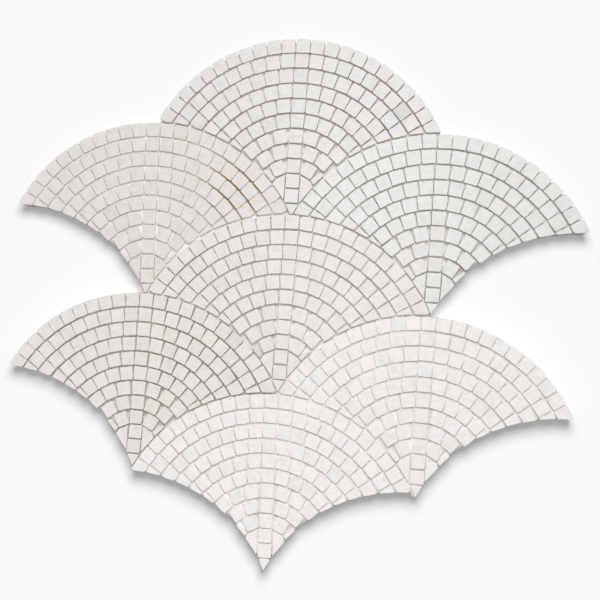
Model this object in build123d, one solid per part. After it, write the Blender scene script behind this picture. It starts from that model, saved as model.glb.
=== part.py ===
from build123d import *
from math import asin, cos, hypot, pi, radians, sin, sqrt, tan
import os

os.makedirs("parts", exist_ok=True)

# A sheet of marble mosaic in interlocking fans: small square chips laid in arched courses on a
# glass-fibre net. Millimetres, +Z up. The origin is the middle of the sheet, on the floor under the net.

# Stone chips
CHIP = 9.5                # side of a whole chip, and the width of the cut ones
CHIP_THICK = 9.5          # the chips are cubes, sawn from strips of this thickness
COURSE_JOINT = 1.2        # open joint between one arched course and the next
SIDE_JOINT = 0.8          # mean joint between the chips of an outer course
INNER_SIDE_JOINT = 1.7    # the tight inner courses are spaced wider
LEAST_JOINT = 0.4         # tight courses have tapered chips, so that no side joint closes below this
HUB_JOINT = 0.7           # the small cut chips round the hub are set closer to the next fan
SMALLEST_CHIP = 0.18      # a closer below this share of a whole chip is left out

# The fan mould
COURSES = 9               # arched courses, the ninth round the hub
OUTER_COURSES = 6         # how many of them take the closer side joint
HUB_RADIUS = 17.9         # from the fan's centre to the joint under its last course
COLUMN_CHIPS = 2          # whole chips standing below the last course
FLANK_ANGLES = (28, 58)   # where the flank chips are nipped round under the last course
CROWN_ANGLE = 63.5        # the crown's arc each side of the fan's axis, in degrees

# Backing net
STRAND_WIDTH = 0.9
STRAND_THICK = 0.25
STRANDS_PER_FAN = 40      # lengthwise strands across the width of one fan
NET_INSET = 0.5           # the net is trimmed this far inside the outermost stone

COURSE_PITCH = CHIP + COURSE_JOINT
FAN_RADIUS = HUB_RADIUS + COURSES * COURSE_PITCH
STONE_RADIUS = FAN_RADIUS - COURSE_JOINT / 2
HALF_WIDTH = FAN_RADIUS * sin(radians(CROWN_ANGLE))
RISE = FAN_RADIUS * (1 - cos(radians(CROWN_ANGLE)))
NET_PITCH = 2 * HALF_WIDTH / STRANDS_PER_FAN
STONE_BASE = 2 * STRAND_THICK

# Each fan by its column and row in the pattern. The sheet was laid up by hand, so every fan
# also sits a little off its place: a turn in degrees, anticlockwise, and a shift right and up.
FANS = {
    "top": (0, 0, -0.2, (-0.7, 0.0)),
    "upper_left": (-1, -1, 1.8, (0.3, -1.1)),
    "upper_right": (1, -1, -0.2, (0.7, 0.3)),
    "middle": (0, -2, -0.5, (0.6, 0.9)),
    "lower_left": (-1, -3, -0.6, (0.0, 0.7)),
    "lower_right": (1, -3, 0.1, (-0.3, -0.1)),
    "bottom": (0, -4, 1.6, (-0.5, -0.7)),
}


def fan_centre(name):
    column, row, _, shift = FANS[name]
    return (column * HALF_WIDTH + shift[0], row * RISE + shift[1])


def fans_below(name):
    """Centres of the three fans whose crowns bound this one: left, right and straight below.

    A place in the pattern with no fan still shapes the free edge, as the mould does.
    """
    column, row, turn, _ = FANS[name]
    x0, y0 = fan_centre(name)
    places = {FANS[other][:2]: other for other in FANS}
    found = []
    for across, down in ((-1, -1), (1, -1), (0, -2)):
        other = places.get((column + across, row + down))
        if other:
            found.append((fan_centre(other), True))
        else:
            x, y = turned(across * HALF_WIDTH, down * RISE, radians(turn))
            found.append(((x0 + x, y0 + y), False))
    return found


def turned(x, y, angle):
    return (x * cos(angle) - y * sin(angle), x * sin(angle) + y * cos(angle))


def placed(outline, centre, angle):
    moved = [turned(x, y, angle) for x, y in outline]
    return [(centre[0] + x, centre[1] + y) for x, y in moved]


def area(outline):
    pairs = zip(outline, outline[1:] + outline[:1])
    return sum(x0 * y1 - x1 * y0 for (x0, y0), (x1, y1) in pairs) / 2


def nipped(outline, point, keep):
    """The outline cut straight through the point, keeping the side that keep points to."""
    depth = [(x - point[0]) * keep[0] + (y - point[1]) * keep[1] for x, y in outline]
    left = []
    for i, (x, y) in enumerate(outline):
        j = (i + 1) % len(outline)
        if depth[i] >= 0:
            left.append((x, y))
        if (depth[i] >= 0) != (depth[j] >= 0):
            t = depth[i] / (depth[i] - depth[j])
            left.append((x + t * (outline[j][0] - x), y + t * (outline[j][1] - y)))
    return left


def nipped_clear(outline, centre, radius):
    """The outline cut once, straight, to stand clear of a round crown that it reaches."""
    if min(hypot(x - centre[0], y - centre[1]) for x, y in outline) >= radius:
        return outline
    left = outline
    for _ in range(3):
        dx = sum(x for x, _ in left) / len(left) - centre[0]
        dy = sum(y for _, y in left) / len(left) - centre[1]
        away = (dx / hypot(dx, dy), dy / hypot(dx, dy))
        left = nipped(outline, (centre[0] + radius * away[0], centre[1] + radius * away[1]), away)
        if len(left) < 3:
            return []
    return left


def fitted(outline, name, joint):
    """The chip nipped to fit against the crowns of the fans below."""
    for centre, laid in fans_below(name):
        straight_below = abs(centre[0] - fan_centre(name)[0]) < HALF_WIDTH / 2
        if outline and (laid or not straight_below):
            outline = nipped_clear(outline, centre, STONE_RADIUS + joint)
    return outline


def block(width, bottom, top, left=None):
    left = -width / 2 if left is None else left
    return [(left, bottom), (left + width, bottom), (left + width, top), (left, top)]


def course(name, number):
    """One arched course: whole chips centred on the fan's axis, then closers at both ends."""
    inner = FAN_RADIUS - number * COURSE_PITCH + COURSE_JOINT / 2
    side_joint = SIDE_JOINT if number <= OUTER_COURSES else INNER_SIDE_JOINT
    per_turn = round(2 * pi * (inner + CHIP / 2) / (CHIP + side_joint))
    step = 2 * pi / per_turn
    widest = radians(CROWN_ANGLE) + asin(CHIP / inner)
    chips = []
    foot = min(CHIP, 2 * tan(step / 2) * inner - LEAST_JOINT)
    for place in range(-int(widest / step), int(widest / step) + 1):
        chip = [(-foot / 2, inner), (foot / 2, inner), (CHIP / 2, inner + CHIP), (-CHIP / 2, inner + CHIP)]
        chip = placed(chip, fan_centre(name), radians(FANS[name][2]) - place * step)
        chip = fitted(chip, name, COURSE_JOINT)
        if len(chip) > 2 and area(chip) > SMALLEST_CHIP * CHIP**2:
            chips.append(chip)
    return chips


def hub(name):
    """The column of chips below the last course, its pointed key chip and the two flank chips."""
    top = HUB_RADIUS - COURSE_JOINT / 2
    chips = [block(CHIP, top - i * COURSE_PITCH - CHIP, top - i * COURSE_PITCH) for i in range(COLUMN_CHIPS)]
    key_top = top - COLUMN_CHIPS * COURSE_PITCH
    chips.append(block(CHIP, key_top - 2 * CHIP, key_top))
    beside = CHIP / 2 + LEAST_JOINT * 2
    for side in (-1, 1):
        flank = block(top, key_top, top, left=beside if side > 0 else -beside - top)
        for angle in FLANK_ANGLES:
            out = (side * sin(radians(angle)), cos(radians(angle)))
            flank = nipped(flank, (out[0] * top, out[1] * top), (-out[0], -out[1]))
        chips.append(flank)
    chips = [placed(chip, fan_centre(name), radians(FANS[name][2])) for chip in chips]
    chips = [fitted(chip, name, HUB_JOINT) for chip in chips]
    return [chip for chip in chips if len(chip) > 2]


laid = {}
for fan_name in FANS:
    for course_number in range(1, COURSES - 1):
        laid[f"{fan_name}_fan_course_{course_number}"] = course(fan_name, course_number)
    laid[f"{fan_name}_fan_heart"] = course(fan_name, COURSES - 1) + course(fan_name, COURSES) + hub(fan_name)

corners = [corner for chips in laid.values() for chip in chips for corner in chip]
MIDDLE = (
    (min(x for x, _ in corners) + max(x for x, _ in corners)) / 2,
    (min(y for _, y in corners) + max(y for _, y in corners)) / 2,
)


def stone(outline):
    points = [(x - MIDDLE[0], y - MIDDLE[1], STONE_BASE) for x, y in outline]
    return Solid.extrude(Face(Wire.make_polygon(points)), Vector(0, 0, CHIP_THICK))


for node, chips in laid.items():
    export_step(Compound(label=node, children=[stone(chip) for chip in chips]), f"parts/{node}.step")


def crossing(centre, radius, position, along):
    """Where a straight strand enters and leaves a circle, or None."""
    off = position - centre[1 - along]
    if abs(off) >= radius:
        return None
    reach = sqrt(radius**2 - off**2)
    return (centre[along] - reach, centre[along] + reach)


def strand_runs(position, along):
    """The lengths of one strand that lie under stone, joined across the fans they pass."""
    runs = []
    for name in FANS:
        own = crossing(fan_centre(name), STONE_RADIUS - NET_INSET, position, along)
        pieces = [own] if own else []
        for centre, stone_there in fans_below(name):
            radius = STONE_RADIUS - NET_INSET if stone_there else STONE_RADIUS + COURSE_JOINT + NET_INSET
            gone = crossing(centre, radius, position, along)
            if gone:
                before = [(low, min(high, gone[0])) for low, high in pieces]
                after = [(max(low, gone[1]), high) for low, high in pieces]
                pieces = [(low, high) for low, high in before + after if high > low]
        runs.extend(pieces)
    joined = []
    for low, high in sorted(runs):
        if joined and low <= joined[-1][1] + COURSE_JOINT:
            joined[-1] = (joined[-1][0], max(high, joined[-1][1]))
        else:
            joined.append((low, high))
    return [run for run in joined if run[1] - run[0] > NET_PITCH / 2]


def strands(along, base):
    """All the strands lying along one axis, 0 for across the sheet and 1 for its length."""
    spread = [corner[1 - along] for corner in corners]
    start = MIDDLE[1] if along == 0 else 0
    found = []
    for i in range(int((min(spread) - start) / NET_PITCH) - 1, int((max(spread) - start) / NET_PITCH) + 2):
        position = start + i * NET_PITCH
        for low, high in strand_runs(position, along):
            middle = [0, 0]
            middle[along] = (low + high) / 2 - MIDDLE[along]
            middle[1 - along] = position - MIDDLE[1 - along]
            size = (high - low, STRAND_WIDTH) if along == 0 else (STRAND_WIDTH, high - low)
            found.append(Pos(middle[0], middle[1], base + STRAND_THICK / 2) * Box(*size, STRAND_THICK))
    return found


export_step(Compound(label="net_weft", children=strands(0, 0)), "parts/net_weft.step")
export_step(Compound(label="net_warp", children=strands(1, STRAND_THICK)), "parts/net_warp.step")
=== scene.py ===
import math
import random

import bmesh
import bpy
from mathutils import Matrix, Vector


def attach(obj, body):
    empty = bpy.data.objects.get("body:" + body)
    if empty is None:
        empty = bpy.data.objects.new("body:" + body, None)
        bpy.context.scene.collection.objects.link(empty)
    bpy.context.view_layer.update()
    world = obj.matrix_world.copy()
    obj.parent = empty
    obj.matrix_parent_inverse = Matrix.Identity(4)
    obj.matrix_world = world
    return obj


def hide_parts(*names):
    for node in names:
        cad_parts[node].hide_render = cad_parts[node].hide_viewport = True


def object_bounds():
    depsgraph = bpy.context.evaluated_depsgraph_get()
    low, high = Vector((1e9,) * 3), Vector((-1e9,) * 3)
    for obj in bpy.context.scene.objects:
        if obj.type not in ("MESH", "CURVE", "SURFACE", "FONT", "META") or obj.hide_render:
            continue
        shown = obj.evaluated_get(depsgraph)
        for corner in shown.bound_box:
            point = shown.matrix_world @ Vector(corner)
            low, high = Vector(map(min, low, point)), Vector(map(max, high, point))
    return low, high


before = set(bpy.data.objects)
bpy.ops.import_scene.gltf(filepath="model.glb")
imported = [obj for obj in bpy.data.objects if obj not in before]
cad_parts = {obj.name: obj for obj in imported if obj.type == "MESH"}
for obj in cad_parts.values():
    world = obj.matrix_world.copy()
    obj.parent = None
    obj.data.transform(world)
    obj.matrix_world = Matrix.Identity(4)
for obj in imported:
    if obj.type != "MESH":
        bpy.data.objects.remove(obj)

cad_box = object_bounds()


# Camera
# The sheet was photographed from straight above with a wide lens held close, about 360 mm over the
# stones and a little to the right, so the walls of the chips show on the side that faces the middle.
STONE_FACE = 0.010
camera_data = bpy.data.cameras.new("overhead_camera")
camera_data.sensor_width = 36
camera_data.lens = 30.6
camera = bpy.data.objects.new("overhead_camera", camera_data)
bpy.context.scene.collection.objects.link(camera)
bpy.context.scene.camera = camera
camera_place = Vector((0.04367, 0.00549, 0.37038))
view_middle = Vector((0.01143, 0.00452, STONE_FACE))
sheet_turn = math.radians(4.397)
up = Vector((-math.sin(sheet_turn), math.cos(sheet_turn), 0))
back = (camera_place - view_middle).normalized()
right = up.cross(back).normalized()
camera_turn = Matrix((right, back.cross(right), back)).transposed().to_4x4()
camera.matrix_world = Matrix.Translation(camera_place) @ camera_turn


# Marble chips
# Each chip is a 9.5 mm cube of white marble: sawn into strips, the strips snapped or clipped into
# cubes, the sawn face left up. Arrises are clipped and worn, corners are lost here and there, and
# chips set by hand differ a little in turn, tilt and height.
def linear(value):
    """The linear colour of an sRGB hex value."""
    channels = [int(value[i:i + 2], 16) / 255 for i in (1, 3, 5)]
    return [c / 12.92 if c <= 0.04045 else ((c + 0.055) / 1.055) ** 2.4 for c in channels] + [1]


def add(tree, kind, values=None, stops=None, **settings):
    """A new node with its settings; values are numbers for its sockets, or sockets to link from."""
    node = tree.nodes.new(kind)
    for key, value in settings.items():
        setattr(node, key, value)
    for key, value in (values or {}).items():
        if isinstance(value, bpy.types.NodeSocket):
            tree.links.new(value, node.inputs[key])
        else:
            node.inputs[key].default_value = value
    for i, (place, colour) in enumerate(stops or []):
        element = node.color_ramp.elements[i] if i < 2 else node.color_ramp.elements.new(place)
        element.position = place
        element.color = linear(colour)
    return node


marble = bpy.data.materials.new("sawn_white_marble")
marble.use_nodes = True
tree = marble.node_tree
shader = tree.nodes["Principled BSDF"]
# Each chip's colour is its own tone times its fan's tone, and the fan's tone is painted light.
shade = add(tree, "ShaderNodeAttribute", attribute_name="stone_tone_and_painted_light").outputs["Color"]
# Every chip shows its own piece of the marble's pattern, turned its own way.
chip_seed = add(tree, "ShaderNodeAttribute", attribute_name="chip_seed").outputs["Vector"]
chip_angle = add(tree, "ShaderNodeAttribute", attribute_name="chip_angle").outputs["Fac"]
where = add(tree, "ShaderNodeTexCoord").outputs["Object"]
where = add(tree, "ShaderNodeVectorRotate", {"Vector": where, "Angle": chip_angle},
            rotation_type="Z_AXIS").outputs["Vector"]
where = add(tree, "ShaderNodeVectorMath", {0: where, 1: chip_seed}, operation="ADD").outputs["Vector"]

# Clouds about 5 mm across, and thin grey veins about 9 mm apart that only some chips catch.
clouds = add(tree, "ShaderNodeTexNoise", {"Vector": where, "Scale": 190.0, "Detail": 4.0, "Roughness": 0.6})
veins = add(tree, "ShaderNodeTexNoise", {"Vector": where, "Scale": 110.0, "Detail": 3.0, "Distortion": 0.8})
# Saw marks: fine straight lines about 0.6 mm apart across each chip.
across = add(tree, "ShaderNodeMapping", {"Vector": where, "Scale": (1700.0, 90.0, 300.0)}).outputs["Vector"]
saw = add(tree, "ShaderNodeTexNoise", {"Vector": across, "Scale": 1.0, "Detail": 2.0, "Roughness": 0.55})
for pattern, stops in ((clouds, [(0.3, "#F8F8F8"), (0.55, "#FFFFFF")]),
                       (veins, [(0.47, "#FFFFFF"), (0.5, "#F7F6F5"), (0.53, "#FFFFFF")]),
                       (saw, [(0.3, "#F8F8F7"), (0.55, "#FFFFFF")])):
    grey = add(tree, "ShaderNodeValToRGB", {"Fac": pattern.outputs["Fac"]}, stops).outputs["Color"]
    shade = add(tree, "ShaderNodeMix", {"Factor": 1.0, "A": shade, "B": grey},
                data_type="RGBA", blend_type="MULTIPLY").outputs["Result"]

# The snapped walls take a film of cream stone dust.
facing = add(tree, "ShaderNodeNewGeometry").outputs["True Normal"]
facing_up = add(tree, "ShaderNodeSeparateXYZ", {"Vector": facing}).outputs["Z"]
top_share = add(tree, "ShaderNodeMapRange",
                {"Value": facing_up, "From Min": 0.05, "From Max": 0.6}).outputs["Result"]
shade = add(tree, "ShaderNodeMix", {"Factor": top_share, "A": linear("#E6E3DE"), "B": shade},
            data_type="RGBA").outputs["Result"]
tree.links.new(shade, shader.inputs["Base Color"])
# A sawn face is dull and a little uneven, and light goes about a millimetre into the stone.
shader.inputs["Roughness"].default_value = 0.5
shader.inputs["IOR"].default_value = 1.5
shader.inputs["Subsurface Weight"].default_value = 0.2
shader.inputs["Subsurface Radius"].default_value = (1.0, 0.92, 0.85)
shader.inputs["Subsurface Scale"].default_value = 0.0015
grain = add(tree, "ShaderNodeTexNoise", {"Vector": where, "Scale": 2600.0, "Detail": 3.0})
height = add(tree, "ShaderNodeMath", {0: saw.outputs["Fac"], 1: grain.outputs["Fac"]}, operation="ADD")
bump = add(tree, "ShaderNodeBump", {"Height": height.outputs["Value"], "Strength": 0.25, "Distance": 0.00012})
tree.links.new(bump.outputs["Normal"], shader.inputs["Normal"])

# Painted light: each fan's stone is coloured greyer and warmer at the left and whiter below, standing in for
# light that falls brighter towards the lower right.
FAN_TONE_PAINTED_LIGHT = {"top": "#E8E6E4", "upper_left": "#E7E3DF", "upper_right": "#E9E9E7", "middle": "#ECE7E4",
             "lower_left": "#EBE7E3", "lower_right": "#F2EFED", "bottom": "#F4F1EF"}
# A few chips came from a greyer strip of stone: their places, and how near them, in millimetres.
GREY_CHIPS = [(72.6, 140.8), (-33.1, -27.7), (-155.3, -52.7), (-126.6, -6.0), (-18.3, -30.0)]
GREY_REACH = 5
GREY_TONE = 0.90
# Every chip has its own tone, the palest most often, and its own warmth.
PALEST_TONE = 1.03
TONE_SPREAD = 0.04
WARMTH = 0.006
STONE_FOOT = 0.0005
CHIP_TALL = 0.0095
# How far a chip laid by hand strays: its turn and lean, its shift, and its drop below the face.
LAID_TURN = math.radians(0.6)
LAID_LEAN = 0.006
LAID_SHIFT = 0.00016
LAID_DROP = 0.00022
LEAST_DROP = 0.00001
# What clipping and wear took: a cut off some corners and less off the others, the wander of the sides,
# which are bent where they are long, and the round of the arrises.
CLIPPED_SHARE = 0.3
CORNER_CUT = 0.0008
CORNER_WORN = 0.00035
LONG_SIDE = 0.004
SIDE_WANDER = 0.00010
ARRIS_WORN = 0.00032


def copy_of(node, name):
    """A copy of a CAD node, alone selected, its loose triangles merged into faces, left in edit mode."""
    bpy.ops.object.select_all(action="DESELECT")
    piece = bpy.data.objects.new(name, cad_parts[node].data.copy())
    bpy.context.scene.collection.objects.link(piece)
    bpy.context.view_layer.objects.active = piece
    piece.select_set(True)
    bpy.ops.object.mode_set(mode="EDIT")
    bpy.ops.mesh.select_all(action="SELECT")
    bpy.ops.mesh.remove_doubles(threshold=0.00001)
    bpy.ops.mesh.dissolve_limited(angle_limit=math.radians(1))
    return piece


chance = random.Random(11)
for name in [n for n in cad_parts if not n.startswith("net_")]:
    stones = copy_of(name, "stones_" + name)
    mesh = bmesh.from_edit_mesh(stones.data)
    seed = mesh.verts.layers.float_vector.new("chip_seed")
    angle = mesh.verts.layers.float.new("chip_angle")
    colour = mesh.verts.layers.float_color.new("stone_tone_and_painted_light")
    mesh.edges.layers.float.new("bevel_weight_edge")
    mesh.normal_update()
    # Only the sawn top faces are kept, to be drawn down into cubes again once their outline is clipped.
    bmesh.ops.delete(mesh, geom=[f for f in mesh.faces if f.normal.z < 0.5], context="FACES")
    bmesh.ops.dissolve_faces(mesh, faces=list(mesh.faces), use_verts=False)
    # Corners, chips and edges are taken in the order of their places, so that each run draws the same.
    corners = sorted(mesh.verts, key=lambda v: v.co[:2])
    clipped = [v for v in corners if chance.random() < CLIPPED_SHARE]
    whole = [v for v in corners if v not in clipped]
    for blunted, cut in ((whole, CORNER_WORN), (clipped, CORNER_CUT)):
        bmesh.ops.bevel(mesh, geom=[v for v in blunted if v.is_valid], offset=cut, affect="VERTICES",
                        segments=1, clamp_overlap=True)
    long_sides = [e for e in mesh.edges if e.calc_length() > LONG_SIDE]
    bmesh.ops.subdivide_edges(mesh, edges=long_sides, cuts=2)
    bmesh.ops.dissolve_faces(mesh, faces=list(mesh.faces), use_verts=False)
    # The fan's tone is painted light, paler where the light falls brighter towards the lower right.
    fan_painted_light = linear(FAN_TONE_PAINTED_LIGHT[name.split("_fan_")[0]])
    for face in sorted(mesh.faces, key=lambda f: f.calc_center_median()[:2]):
        middle = face.calc_center_median()
        turn = Matrix.Rotation(chance.gauss(0, LAID_TURN), 3, "Z")
        shift = Vector((chance.uniform(-1, 1), chance.uniform(-1, 1), 0)) * LAID_SHIFT
        drop = chance.random() ** 2 * LAID_DROP
        lean = Vector((chance.gauss(0, LAID_LEAN), chance.gauss(0, LAID_LEAN), 0))
        own_seed = [chance.uniform(-1, 1) for _ in range(3)]
        # The saw ran along one side of the chip or the other.
        side = max(face.edges, key=lambda e: (round(e.calc_length(), 5), (e.verts[0].co + e.verts[1].co)[:2]))
        start, end = sorted(v.co[:2] for v in side.verts)
        own_angle = -math.atan2(end[1] - start[1], end[0] - start[0]) + chance.choice((0, 1)) * math.pi / 2
        tone = PALEST_TONE - TONE_SPREAD * chance.random() ** 2
        warmth = chance.gauss(0, WARMTH)
        if any(math.hypot(middle.x * 1000 - x, middle.y * 1000 - y) < GREY_REACH for x, y in GREY_CHIPS):
            tone *= GREY_TONE
        chip_tone_and_painted_light = [c * tone * warm for c, warm in zip(fan_painted_light, (1 + warmth, 1, 1 - warmth))] + [1]
        for vert in sorted(face.verts, key=lambda v: v.co[:2]):
            arm = vert.co - middle
            wander = Vector((chance.uniform(-1, 1), chance.uniform(-1, 1), 0)) * SIDE_WANDER
            vert.co = middle + turn @ (arm + wander) + shift
            vert.co.z = STONE_FACE - LEAST_DROP - drop + min(0, lean.dot(arm))
            for i in (0, 1):
                vert.co[i] = min(max(vert.co[i], cad_box[0][i]), cad_box[1][i])
            vert[seed] = own_seed
            vert[angle] = own_angle
            vert[colour] = chip_tone_and_painted_light
    bmesh.update_edit_mesh(stones.data)
    bpy.ops.mesh.select_all(action="SELECT")
    bpy.ops.mesh.extrude_region_move(TRANSFORM_OT_translate={"value": (0, 0, -CHIP_TALL)})
    mesh = bmesh.from_edit_mesh(stones.data)
    for vert in mesh.verts:
        if vert.co.z < STONE_FACE / 2:
            vert.co.z = STONE_FOOT
    bpy.ops.mesh.select_all(action="SELECT")
    bpy.ops.mesh.normals_make_consistent(inside=False)
    # The top arrises are worn round, each by its own amount.
    mesh = bmesh.from_edit_mesh(stones.data)
    wear = mesh.edges.layers.float["bevel_weight_edge"]
    top_edges = [e for e in mesh.edges if all(v.co.z > STONE_FACE / 2 for v in e.verts)]
    for edge in sorted(top_edges, key=lambda e: (e.verts[0].co + e.verts[1].co)[:2]):
        edge[wear] = chance.uniform(0.35, 1)
    bmesh.update_edit_mesh(stones.data)
    bpy.ops.object.mode_set(mode="OBJECT")
    bpy.ops.object.shade_smooth_by_angle(angle=math.radians(35))
    worn = stones.modifiers.new("worn_arris", "BEVEL")
    worn.limit_method = "WEIGHT"
    worn.width = ARRIS_WORN
    worn.segments = 2
    worn.harden_normals = True
    bpy.ops.object.modifier_apply(modifier="worn_arris")
    stones.data.materials.clear()
    stones.data.materials.append(marble)
    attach(stones, "root")
    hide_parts(name)


# White adhesive
# The stones are stuck to the net with white mosaic glue, which rises between them and is what the eye
# meets at the foot of every joint. Each fan is bedded by itself, higher or lower, and its glue is cut
# round by the crowns of the two fans that it stands on.

# Centre of each fan in millimetres, its turn in degrees and the height of its glue in millimetres.
FAN_PLACE = {
    "top": (-0.5, 76.0, -0.2, 6.1),
    "upper_left": (-101.7, 11.7, 1.8, 8.3),
    "upper_right": (103.1, 13.1, -0.2, 6.5),
    "middle": (0.8, -49.6, -0.5, 6.8),
    "lower_left": (-102.0, -113.0, -0.6, 5.8),
    "lower_right": (102.1, -113.8, 0.1, 8.5),
    "bottom": (-0.3, -177.7, 1.6, 8.5),
}
# A fan stands half a fan's width to each side of the two below it and one rise up, in millimetres, and
# the hand-laid ones lie within 6 mm of that.
HALF_WIDTH = 102.2
RISE = 63.24
HAND_LAID = 6
# A bed stops 0.6 mm inside its outermost stones, at the crown and where no fan was laid below, and it
# meets the bed of a fan that was.
BED_RADIUS = 0.1130
LAID_CROWN = 0.1128
FREE_CROWN = 0.1154
BED_FOOT = 0.00045
CUTTER_TALL = 0.03

# Hardened glue, dull and softly lumpy every 2.5 mm. Where it is thin, about 25 mm apart, it is greyer.
adhesive = bpy.data.materials.new("white_mosaic_adhesive")
adhesive.use_nodes = True
tree = adhesive.node_tree
shader = tree.nodes["Principled BSDF"]
where = add(tree, "ShaderNodeTexCoord").outputs["Object"]
lumps = add(tree, "ShaderNodeTexNoise", {"Vector": where, "Scale": 400.0, "Detail": 3.0}).outputs["Fac"]
thin = add(tree, "ShaderNodeTexNoise", {"Vector": where, "Scale": 40.0, "Detail": 3.0}).outputs["Fac"]
glue_white = add(tree, "ShaderNodeValToRGB", {"Fac": thin}, [(0.35, "#CFCDCA"), (0.6, "#ECEAE7")])
tree.links.new(glue_white.outputs["Color"], shader.inputs["Base Color"])
shader.inputs["Roughness"].default_value = 0.7
bump = add(tree, "ShaderNodeBump", {"Height": lumps, "Strength": 0.3, "Distance": 0.0002})
tree.links.new(bump.outputs["Normal"], shader.inputs["Normal"])

for name, (x, y, turn, glue_top) in FAN_PLACE.items():
    turn = math.radians(turn)
    tall = glue_top / 1000 - BED_FOOT
    bpy.ops.object.select_all(action="DESELECT")
    bpy.ops.mesh.primitive_cylinder_add(vertices=180, radius=BED_RADIUS, depth=tall,
                                        location=(x / 1000, y / 1000, BED_FOOT + tall / 2))
    bpy.ops.object.transform_apply(location=True, rotation=False, scale=False)
    bed = bpy.context.object
    bed.name = "adhesive_" + name
    # The crown below on each side is that of the fan laid there, or else of the place left empty.
    for across in (-HALF_WIDTH, HALF_WIDTH):
        laid = [place[:2] for place in FAN_PLACE.values()
                if math.hypot(place[0] - x - across, place[1] - y + RISE) < HAND_LAID]
        centre = (x + across * math.cos(turn) + RISE * math.sin(turn),
                  y + across * math.sin(turn) - RISE * math.cos(turn))
        reach = FREE_CROWN
        if laid:
            centre = laid[0]
            reach = LAID_CROWN
        bpy.ops.object.select_all(action="DESELECT")
        bpy.ops.mesh.primitive_cylinder_add(vertices=180, radius=reach, depth=CUTTER_TALL,
                                            location=(centre[0] / 1000, centre[1] / 1000, 0))
        bpy.ops.object.transform_apply(location=True, rotation=False, scale=False)
        crown = bpy.context.object
        bpy.ops.object.select_all(action="DESELECT")
        bpy.context.view_layer.objects.active = bed
        bed.select_set(True)
        cut = bed.modifiers.new("crown_below", "BOOLEAN")
        cut.operation = "DIFFERENCE"
        cut.object = crown
        bpy.ops.object.modifier_apply(modifier="crown_below")
        bpy.data.objects.remove(crown)
    bed.data.materials.clear()
    bed.data.materials.append(adhesive)
    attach(bed, "root")


# Stained joints
# Iron in the stone has bled brown into the curved joints of the upper left fan, over about 50 mm near
# its right side. All the other joints are faintly tanned, in patches, by the same stone dust.
JOINT_MIDDLE = 0.005
STAIN = (-0.0390, 0.0795, JOINT_MIDDLE)
UPPER_LEFT = (FAN_PLACE["upper_left"][0] / 1000, FAN_PLACE["upper_left"][1] / 1000, JOINT_MIDDLE)
CROWN_RADIUS = 0.1142
COURSE_PITCH = 0.0107
INSIDE_CROWN = 0.110
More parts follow.
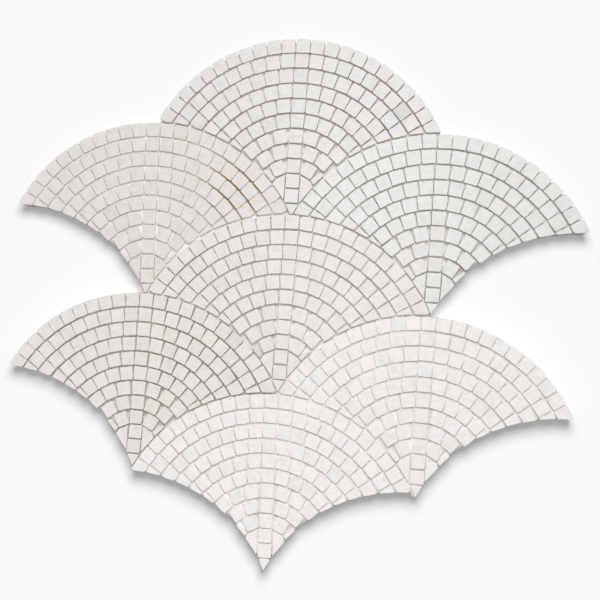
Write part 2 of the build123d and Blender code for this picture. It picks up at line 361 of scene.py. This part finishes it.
# Three small spots more, by the hub of the upper right fan, in the top fan and in the middle one, and
# the lower left fan, a little tanned all over: each one's place, full reach, outer reach and strength.
SPOTS = [
    ((0.1203, 0.0350, JOINT_MIDDLE), 0.001, 0.010, 0.7),
    ((0.0618, 0.1291, JOINT_MIDDLE), 0.001, 0.010, 0.7),
    ((-0.0310, -0.0541, JOINT_MIDDLE), 0.001, 0.010, 0.7),
    ((-0.1020, -0.0500, JOINT_MIDDLE), 0.060, 0.110, 0.28),
]
for material, walls_only in ((marble, True), (adhesive, False)):
    tree = material.node_tree
    shader = tree.nodes["Principled BSDF"]
    clean = shader.inputs["Base Color"].links[0].from_socket
    where = add(tree, "ShaderNodeTexCoord").outputs["Object"]
    patchy = add(tree, "ShaderNodeTexNoise", {"Vector": where, "Scale": 90.0, "Detail": 2.0}).outputs["Fac"]
    dusty = add(tree, "ShaderNodeMapRange", {"Value": patchy, "From Min": 0.35, "From Max": 0.7,
                                             "To Min": 0.0, "To Max": 0.3}).outputs["Result"]
    reach = add(tree, "ShaderNodeVectorMath", {0: where, 1: STAIN}, operation="DISTANCE").outputs["Value"]
    reach = add(tree, "ShaderNodeMath", {0: patchy, 1: 0.016, 2: reach},
                operation="MULTIPLY_ADD").outputs["Value"]
    bled = add(tree, "ShaderNodeMapRange", {"Value": reach, "From Min": 0.020, "From Max": 0.046,
                                            "To Min": 1.0, "To Max": 0.0}).outputs["Result"]
    # The curved joints are a course pitch apart round the fan's centre; the straight ones took up little.
    radius = add(tree, "ShaderNodeVectorMath", {0: where, 1: UPPER_LEFT},
                 operation="DISTANCE").outputs["Value"]
    own_fan = add(tree, "ShaderNodeMath", {0: radius, 1: INSIDE_CROWN},
                  operation="LESS_THAN").outputs["Value"]
    inward = add(tree, "ShaderNodeMath", {0: CROWN_RADIUS, 1: radius}, operation="SUBTRACT").outputs["Value"]
    off_joint = add(tree, "ShaderNodeMath", {0: inward, 1: COURSE_PITCH / 2},
                    operation="PINGPONG").outputs["Value"]
    curved = add(tree, "ShaderNodeMapRange", {"Value": off_joint, "From Min": 0.0009, "From Max": 0.0016,
                                              "To Min": 1.0, "To Max": 0.15}).outputs["Result"]
    for share in (own_fan, curved):
        bled = add(tree, "ShaderNodeMath", {0: bled, 1: share}, operation="MULTIPLY").outputs["Value"]
    for place, full, outer, strength in SPOTS:
        near = add(tree, "ShaderNodeVectorMath", {0: where, 1: place}, operation="DISTANCE").outputs["Value"]
        near = add(tree, "ShaderNodeMapRange", {"Value": near, "From Min": full, "From Max": outer,
                                                "To Min": strength, "To Max": 0.0}).outputs["Result"]
        dusty = add(tree, "ShaderNodeMath", {0: dusty, 1: near}, operation="MAXIMUM").outputs["Value"]
    amount = add(tree, "ShaderNodeMath", {0: bled, 1: dusty}, operation="MAXIMUM").outputs["Value"]
    if walls_only:
        facing = add(tree, "ShaderNodeNewGeometry").outputs["True Normal"]
        facing_up = add(tree, "ShaderNodeSeparateXYZ", {"Vector": facing}).outputs["Z"]
        wall = add(tree, "ShaderNodeMapRange", {"Value": facing_up, "From Min": 0.35, "From Max": 0.9,
                                                "To Min": 1.0, "To Max": 0.0}).outputs["Result"]
        amount = add(tree, "ShaderNodeMath", {0: amount, 1: wall}, operation="MULTIPLY").outputs["Value"]
    brown = add(tree, "ShaderNodeValToRGB", {"Fac": amount},
                [(0.0, "#DFD8CB"), (0.5, "#C4B196"), (1.0, "#A58B68")]).outputs["Color"]
    stained = add(tree, "ShaderNodeMix", {"Factor": amount, "A": clean, "B": brown}, data_type="RGBA")
    tree.links.new(stained.outputs["Result"], shader.inputs["Base Color"])


# Backing net
# Glass-fibre scrim dipped in resin, lengthwise strands over crosswise ones at about 5 mm. Each strand
# is a flat bundle with rounded edges, and it shows only underneath.
BUNDLE_ROUND = 0.00011
# Milky and satin from its resin, with the fibres showing through.
scrim = bpy.data.materials.new("resin_coated_glass_scrim")
scrim.use_nodes = True
tree = scrim.node_tree
shader = tree.nodes["Principled BSDF"]
where = add(tree, "ShaderNodeTexCoord").outputs["Object"]
run = add(tree, "ShaderNodeAttribute", attribute_name="strand_run").outputs["Fac"]
# Fibres 0.15 mm apart lie along the strand: the pattern is stretched 60 times that way.
lengthwise = add(tree, "ShaderNodeMapping", {"Vector": where, "Scale": (6600.0, 110.0, 2000.0)})
crosswise = add(tree, "ShaderNodeMapping", {"Vector": where, "Scale": (110.0, 6600.0, 2000.0)})
path = add(tree, "ShaderNodeMix", {"Factor": run, "A": crosswise.outputs["Vector"],
                                   "B": lengthwise.outputs["Vector"]}, data_type="VECTOR").outputs["Result"]
fibre = add(tree, "ShaderNodeTexNoise", {"Vector": path, "Scale": 1.0, "Detail": 2.0}).outputs["Fac"]
fibre_white = add(tree, "ShaderNodeValToRGB", {"Fac": fibre}, [(0.3, "#D6D5CC"), (0.7, "#F0EFEA")])
tree.links.new(fibre_white.outputs["Color"], shader.inputs["Base Color"])
shader.inputs["Roughness"].default_value = 0.4
bump = add(tree, "ShaderNodeBump", {"Height": fibre, "Strength": 0.5, "Distance": 0.00006})
tree.links.new(bump.outputs["Normal"], shader.inputs["Normal"])
for name, direction in (("net_weft", 0.0), ("net_warp", 1.0)):
    strands = copy_of(name, "strands_" + name)
    bpy.ops.object.mode_set(mode="OBJECT")
    rounded = strands.modifiers.new("rounded_bundle", "BEVEL")
    rounded.width = BUNDLE_ROUND
    rounded.segments = 2
    rounded.harden_normals = True
    bpy.ops.object.shade_smooth_by_angle(angle=math.radians(40))
    bpy.ops.object.modifier_apply(modifier="rounded_bundle")
    strand_run = strands.data.attributes.new("strand_run", "FLOAT", "POINT")
    strand_run.data.foreach_set("value", [direction] * len(strands.data.vertices))
    strands.data.materials.clear()
    strands.data.materials.append(scrim)
    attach(strands, "root")
    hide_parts(name)


# Table
# The sheet lies on a plain pale table, matt, with no edge in sight. It looks nearly white to the
# camera but throws less light back up, so the shadow under the sheet's edge stays.
bpy.ops.object.select_all(action="DESELECT")
bpy.ops.mesh.primitive_plane_add(size=3, location=(0, 0, -0.0001))
floor = bpy.context.object
floor.name = "pale_table"
table = bpy.data.materials.new("pale_table")
table.use_nodes = True
tree = table.node_tree
shader = tree.nodes["Principled BSDF"]
seen = add(tree, "ShaderNodeLightPath").outputs["Is Camera Ray"]
pale = add(tree, "ShaderNodeMix", {"Factor": seen, "A": linear("#C4C4C4"), "B": linear("#F9F9F9")},
           data_type="RGBA")
tree.links.new(pale.outputs["Result"], shader.inputs["Base Color"])
shader.inputs["Roughness"].default_value = 0.9
shader.inputs["Specular IOR Level"].default_value = 0.0
floor.data.materials.append(table)


# Lamps and room
# A softbox hangs beyond the top edge of the picture, as near to the sheet as the camera is: shadows
# spread outwards and towards the bottom edge. A small lamp at the lens lights the feet of the joints,
# and the white room fills the shadows. Both lamps are graded to light the table evenly from side to side.
LAMP_HEIGHT = 0.37
# The softbox hangs this much to the right for each metre beyond the camera, and the grading stops
# where a lamp's light grazes the table below this slope.
ASIDE = 0.08
GRAZING = 0.2
# Each lamp's share of the light, its radius and how far it hangs beyond the camera.
for name, share, radius, beyond in (("softbox", 0.63, 0.15, 0.27), ("lamp_at_lens", 0.265, 0.02, 0.0)):
    lamp_data = bpy.data.lights.new(name, "POINT")
    # A lamp with the whole share would light a white table to full white.
    lamp_data.energy = share * 4 * math.pi ** 2
    lamp_data.shadow_soft_size = radius
    lamp_data.use_nodes = True
    tree = lamp_data.node_tree
    even = add(tree, "ShaderNodeLightFalloff", {"Strength": 1.0}).outputs["Constant"]
    ray = add(tree, "ShaderNodeNewGeometry").outputs["Incoming"]
    slope = add(tree, "ShaderNodeSeparateXYZ", {"Vector": ray}).outputs["Z"]
    slope = add(tree, "ShaderNodeMath", {0: slope}, operation="ABSOLUTE").outputs["Value"]
    slope = add(tree, "ShaderNodeMath", {0: slope, 1: GRAZING}, operation="MAXIMUM").outputs["Value"]
    even = add(tree, "ShaderNodeMath", {0: even, 1: slope}, operation="DIVIDE").outputs["Value"]
    tree.links.new(even, tree.nodes["Emission"].inputs["Strength"])
    lamp = bpy.data.objects.new(name, lamp_data)
    lamp.location = (camera_place.x + (up.x + ASIDE) * beyond, camera_place.y + up.y * beyond, LAMP_HEIGHT)
    lamp.visible_camera = False
    bpy.context.scene.collection.objects.link(lamp)

# The room itself looks as pale as the table, and throws a soft even light.
world = bpy.data.worlds.new("white_room")
world.use_nodes = True
tree = world.node_tree
seen = add(tree, "ShaderNodeLightPath").outputs["Is Camera Ray"]
glow = add(tree, "ShaderNodeMapRange", {"Value": seen, "To Min": 0.12, "To Max": 0.95}).outputs["Result"]
tree.nodes["Background"].inputs["Color"].default_value = (1, 1, 1, 1)
tree.links.new(glow, tree.nodes["Background"].inputs["Strength"])
bpy.context.scene.world = world

bpy.context.scene.view_settings.view_transform = "Standard"
